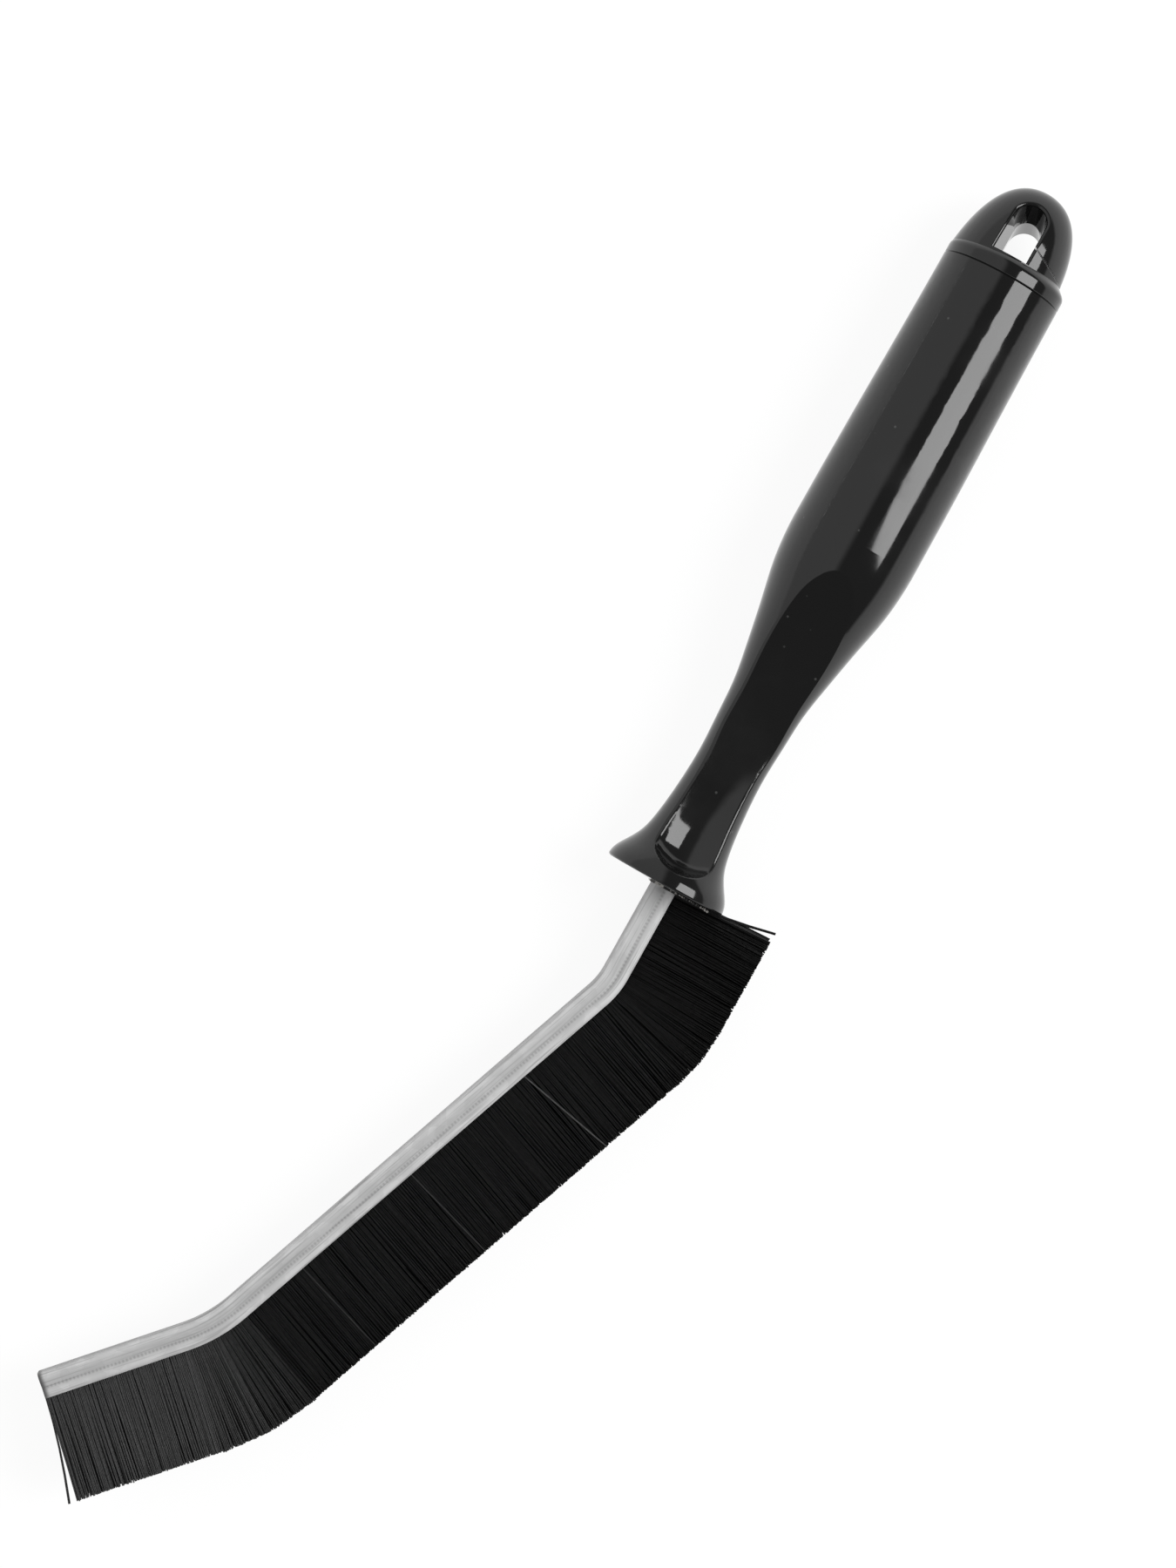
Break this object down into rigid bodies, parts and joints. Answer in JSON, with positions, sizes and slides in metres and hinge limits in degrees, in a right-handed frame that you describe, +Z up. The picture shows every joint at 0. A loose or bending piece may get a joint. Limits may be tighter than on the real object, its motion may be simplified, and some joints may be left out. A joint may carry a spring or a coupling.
{
  "type": "crevice brush",
  "caption": "Slim hand brush for gaps and tracks: a bent metal strip of stiff bristles set in a waisted handle with thumb panels and an open hanging hook.",
  "frame": {"origin": "under the middle of the part's box, on the surface that the brush lies on", "axes": "+X along the handle from the toe of the strip to the hanging hook, +Y across the brush away from the bristles, +Z up, square to the plane of the bent strip"},
  "size_m": [0.2868, 0.0768, 0.024],
  "materials": {
    "black_plastic": "glossy moulded",
    "galvanised_steel": "satin rolled and crimped",
    "steel_wire": "drawn wire",
    "black_nylon": "satin filaments",
    "clear_adhesive": "clear cured"
  },
  "bodies": {
    "brush": {"handle_shell": "black_plastic", "strip_channel": "galvanised_steel", "core_wire": "steel_wire", "filament_fold": "black_nylon", "adhesive": "clear_adhesive"},
    "hook_cap": {"hook_cap": "black_plastic"},
    "bristles_01": {"bristle_bundle_01": "black_nylon"},
    "bristles_02": {"bristle_bundle_02": "black_nylon"},
    "bristles_03": {"bristle_bundle_03": "black_nylon"},
    "bristles_04": {"bristle_bundle_04": "black_nylon"},
    "bristles_05": {"bristle_bundle_05": "black_nylon"},
    "bristles_06": {"bristle_bundle_06": "black_nylon"},
    "bristles_07": {"bristle_bundle_07": "black_nylon"},
    "bristles_08": {"bristle_bundle_08": "black_nylon"},
    "bristles_09": {"bristle_bundle_09": "black_nylon"},
    "bristles_10": {"bristle_bundle_10": "black_nylon"},
    "bristles_11": {"bristle_bundle_11": "black_nylon"},
    "bristles_12": {"bristle_bundle_12": "black_nylon"},
    "bristles_13": {"bristle_bundle_13": "black_nylon"},
    "bristles_14": {"bristle_bundle_14": "black_nylon"},
    "bristles_15": {"bristle_bundle_15": "black_nylon"},
    "bristles_16": {"bristle_bundle_16": "black_nylon"},
    "bristles_17": {"bristle_bundle_17": "black_nylon"}
  },
  "joints": [
    {"name": "cap_swivel", "type": "hinge", "parent": "brush", "child": "hook_cap", "pos_m": [0.12573, -0.01691, 0.012], "axis": [1, 0, 0], "continuous": true},
    {"name": "flex_01", "type": "hinge", "parent": "brush", "child": "bristles_01", "pos_m": [-0.00253, -0.02116, 0.012], "axis": [-1, 0, 0], "range_deg": [-20, 20], "stiffness_Nm_per_rad": 0.0281},
    {"name": "flex_02", "type": "hinge", "parent": "brush", "child": "bristles_02", "pos_m": [-0.01106, -0.02116, 0.012], "axis": [-1, 0, 0], "range_deg": [-20, 20], "stiffness_Nm_per_rad": 0.0281},
    {"name": "flex_03", "type": "hinge", "parent": "brush", "child": "bristles_03", "pos_m": [-0.017, -0.02109, 0.012], "axis": [-0.9962, 0.0872, 0], "range_deg": [-20, 20], "stiffness_Nm_per_rad": 0.0086},
    {"name": "flex_04", "type": "hinge", "parent": "brush", "child": "bristles_04", "pos_m": [-0.02031, -0.0205, 0.012], "axis": [-0.9659, 0.2588, 0], "range_deg": [-20, 20], "stiffness_Nm_per_rad": 0.0086},
    {"name": "flex_05", "type": "hinge", "parent": "brush", "child": "bristles_05", "pos_m": [-0.02689, -0.01818, 0.012], "axis": [-0.9397, 0.342, 0], "range_deg": [-20, 20], "stiffness_Nm_per_rad": 0.035},
    {"name": "flex_06", "type": "hinge", "parent": "brush", "child": "bristles_06", "pos_m": [-0.03686, -0.01456, 0.012], "axis": [-0.9397, 0.342, 0], "range_deg": [-20, 20], "stiffness_Nm_per_rad": 0.035},
    {"name": "flex_07", "type": "hinge", "parent": "brush", "child": "bristles_07", "pos_m": [-0.04682, -0.01093, 0.012], "axis": [-0.9397, 0.342, 0], "range_deg": [-20, 20], "stiffness_Nm_per_rad": 0.035},
    {"name": "flex_08", "type": "hinge", "parent": "brush", "child": "bristles_08", "pos_m": [-0.05679, -0.0073, 0.012], "axis": [-0.9397, 0.342, 0], "range_deg": [-20, 20], "stiffness_Nm_per_rad": 0.035},
    {"name": "flex_09", "type": "hinge", "parent": "brush", "child": "bristles_09", "pos_m": [-0.06675, -0.00368, 0.012], "axis": [-0.9397, 0.342, 0], "range_deg": [-20, 20], "stiffness_Nm_per_rad": 0.035},
    {"name": "flex_10", "type": "hinge", "parent": "brush", "child": "bristles_10", "pos_m": [-0.07672, -0.00005, 0.012], "axis": [-0.9397, 0.342, 0], "range_deg": [-20, 20], "stiffness_Nm_per_rad": 0.035},
    {"name": "flex_11", "type": "hinge", "parent": "brush", "child": "bristles_11", "pos_m": [-0.08668, 0.00358, 0.012], "axis": [-0.9397, 0.342, 0], "range_deg": [-20, 20], "stiffness_Nm_per_rad": 0.035},
    {"name": "flex_12", "type": "hinge", "parent": "brush", "child": "bristles_12", "pos_m": [-0.09665, 0.0072, 0.012], "axis": [-0.9397, 0.342, 0], "range_deg": [-20, 20], "stiffness_Nm_per_rad": 0.035},
    {"name": "flex_13", "type": "hinge", "parent": "brush", "child": "bristles_13", "pos_m": [-0.10452, 0.01023, 0.012], "axis": [-0.902, 0.4317, 0], "range_deg": [-20, 20], "stiffness_Nm_per_rad": 0.018},
    {"name": "flex_14", "type": "hinge", "parent": "brush", "child": "bristles_14", "pos_m": [-0.10988, 0.01347, 0.012], "axis": [-0.8015, 0.598, 0], "range_deg": [-20, 20], "stiffness_Nm_per_rad": 0.018},
    {"name": "flex_15", "type": "hinge", "parent": "brush", "child": "bristles_15", "pos_m": [-0.11561, 0.01847, 0.012], "axis": [-0.7396, 0.673, 0], "range_deg": [-20, 20], "stiffness_Nm_per_rad": 0.0295},
    {"name": "flex_16", "type": "hinge", "parent": "brush", "child": "bristles_16", "pos_m": [-0.12221, 0.02448, 0.012], "axis": [-0.7396, 0.673, 0], "range_deg": [-20, 20], "stiffness_Nm_per_rad": 0.0295},
    {"name": "flex_17", "type": "hinge", "parent": "brush", "child": "bristles_17", "pos_m": [-0.12881, 0.03049, 0.012], "axis": [-0.7396, 0.673, 0], "range_deg": [-20, 20], "stiffness_Nm_per_rad": 0.0295}
  ]
}
